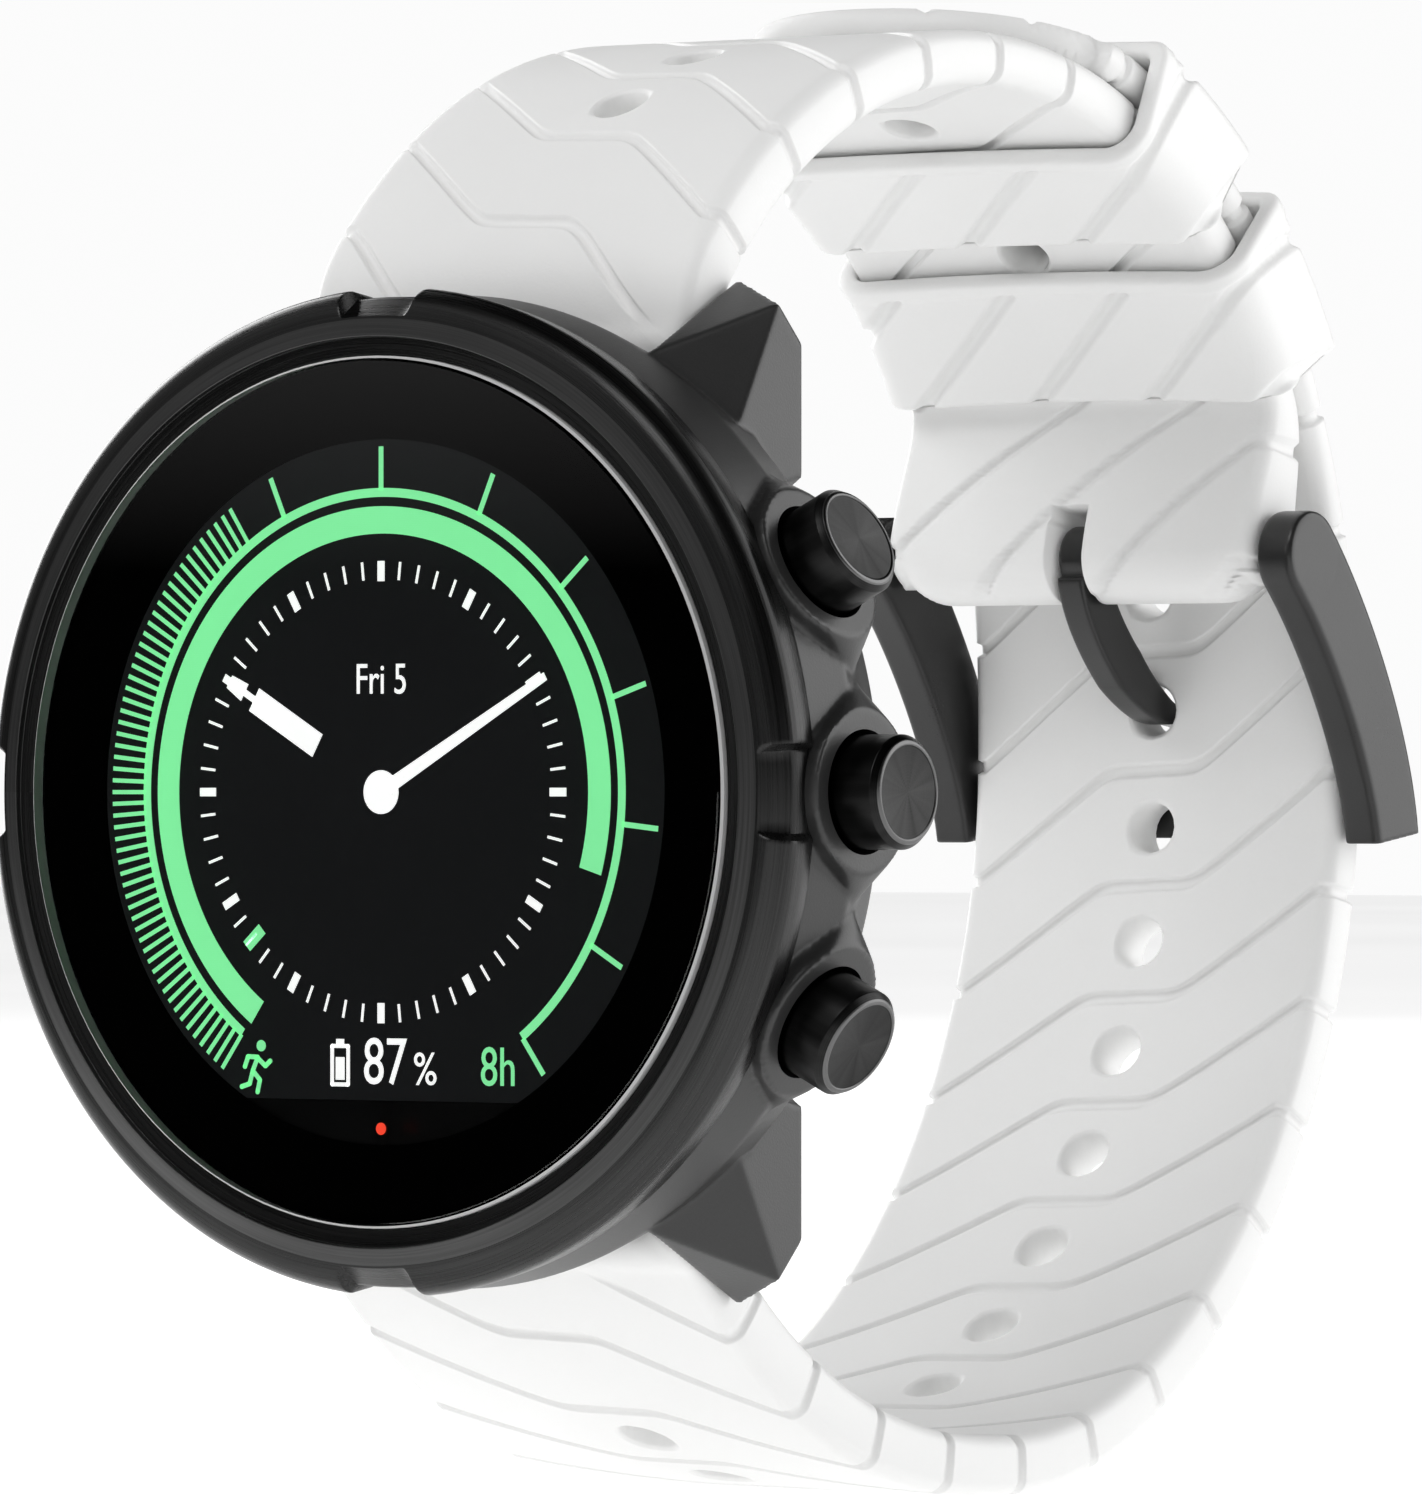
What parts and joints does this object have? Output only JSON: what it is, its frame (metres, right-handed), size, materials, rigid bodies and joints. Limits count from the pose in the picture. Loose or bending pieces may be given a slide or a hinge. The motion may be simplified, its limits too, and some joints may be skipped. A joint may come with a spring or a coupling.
{
  "type": "gps running watch",
  "caption": "Round sports watch with a black bezel, side push buttons and a grooved white silicone strap closed by a pin buckle and keepers.",
  "frame": {"origin": "centre of the flat sensor window on the case back, where the watch rests on the skin", "axes": "+Y out of the case back towards the wrist, +Z towards 12 o'clock, +X towards 3 o'clock"},
  "size_m": [0.0528, 0.0738, 0.0771],
  "materials": {
    "case_polyamide": "dark grey fine-textured polyamide",
    "bezel_steel": "black coated steel, circular brushed",
    "crystal_glass": "polished",
    "seal_rubber": "matte",
    "display_black": "glossy",
    "white_plastic": "satin",
    "polyimide_film": "satin film",
    "black_plastic": "matte",
    "circuit_board": "solder mask",
    "tinned_steel": "bright tinned",
    "copper_trace": "plated",
    "battery_foil": "satin foil",
    "back_steel": "dark coated, fine blasted",
    "screw_steel": "bright",
    "sensor_glass": "polished dark",
    "led_lens": "clear green",
    "gold_contact": "gold plated",
    "white_silicone": "soft matte silicone",
    "buckle_black": "satin black coated steel",
    "button_black": "black coated, circular brushed face",
    "bush_bronze": "bronze"
  },
  "bodies": {
    "case": {"case_middle": "case_polyamide", "bezel": "bezel_steel", "crystal": "crystal_glass", "crystal_gasket": "seal_rubber", "display_panel": "display_black", "backlight_plate": "white_plastic", "display_flex": "polyimide_film", "inner_frame": "black_plastic", "main_board": "circuit_board", "board_shields": "tinned_steel", "button_switches": "tinned_steel", "pressure_sensor": "tinned_steel", "gps_antenna": "copper_trace", "battery": "battery_foil", "vibration_motor": "tinned_steel", "buzzer": "black_plastic", "case_back": "back_steel", "case_back_gasket": "seal_rubber", "case_back_screws": "screw_steel", "sensor_window": "sensor_glass", "sensor_board": "circuit_board", "sensor_leds": "led_lens", "charging_contacts": "gold_contact", "spring_bar_upper": "screw_steel", "spring_bar_lower": "screw_steel", "strap_short": "white_silicone", "strap_long": "white_silicone", "button_spring_upper": "screw_steel", "button_bush_upper": "bush_bronze", "button_spring_middle": "screw_steel", "button_bush_middle": "bush_bronze", "button_spring_lower": "screw_steel", "button_bush_lower": "bush_bronze"},
    "button_upper": {"button_upper": "button_black", "button_seal_upper": "seal_rubber", "button_clip_upper": "screw_steel"},
    "button_middle": {"button_middle": "button_black", "button_seal_middle": "seal_rubber", "button_clip_middle": "screw_steel"},
    "button_lower": {"button_lower": "button_black", "button_seal_lower": "seal_rubber", "button_clip_lower": "screw_steel"},
    "keeper_upper": {"keeper_upper": "white_silicone"},
    "keeper_lower": {"keeper_lower": "white_silicone"},
    "buckle": {"buckle_frame": "buckle_black", "buckle_bar": "screw_steel"},
    "tang": {"buckle_tang": "buckle_black"}
  },
  "joints": [
    {"name": "press_upper", "type": "slide", "parent": "case", "child": "button_upper", "axis": [-0.8957, 0, -0.4446], "range_m": [0, 0.0007], "stiffness_N_per_m": 800, "springref_m": -0.0008, "deforming": ["button_spring_upper"]},
    {"name": "press_middle", "type": "slide", "parent": "case", "child": "button_middle", "axis": [-1, 0, 0], "range_m": [0, 0.0007], "stiffness_N_per_m": 800, "springref_m": -0.0008, "deforming": ["button_spring_middle"]},
    {"name": "press_lower", "type": "slide", "parent": "case", "child": "button_lower", "axis": [-0.8957, 0, 0.4446], "range_m": [0, 0.0007], "stiffness_N_per_m": 800, "springref_m": -0.0008, "deforming": ["button_spring_lower"]},
    {"name": "slide_keeper_upper", "type": "hinge", "parent": "case", "child": "keeper_upper", "pos_m": [0, 0.0202, 0.007], "axis": [1, 0, 0], "range_deg": [0, 25]},
    {"name": "slide_keeper_lower", "type": "hinge", "parent": "case", "child": "keeper_lower", "pos_m": [0, 0.0202, 0.007], "axis": [1, 0, 0], "range_deg": [0, 3]},
    {"name": "swing_buckle", "type": "hinge", "parent": "case", "child": "buckle", "pos_m": [0, 0.0463, 0.0125], "axis": [1, 0, 0], "range_deg": [0, 95]},
    {"name": "swing_tang", "type": "hinge", "parent": "case", "child": "tang", "pos_m": [0, 0.0463, 0.0125], "axis": [1, 0, 0], "range_deg": [0, 1.5]}
  ]
}
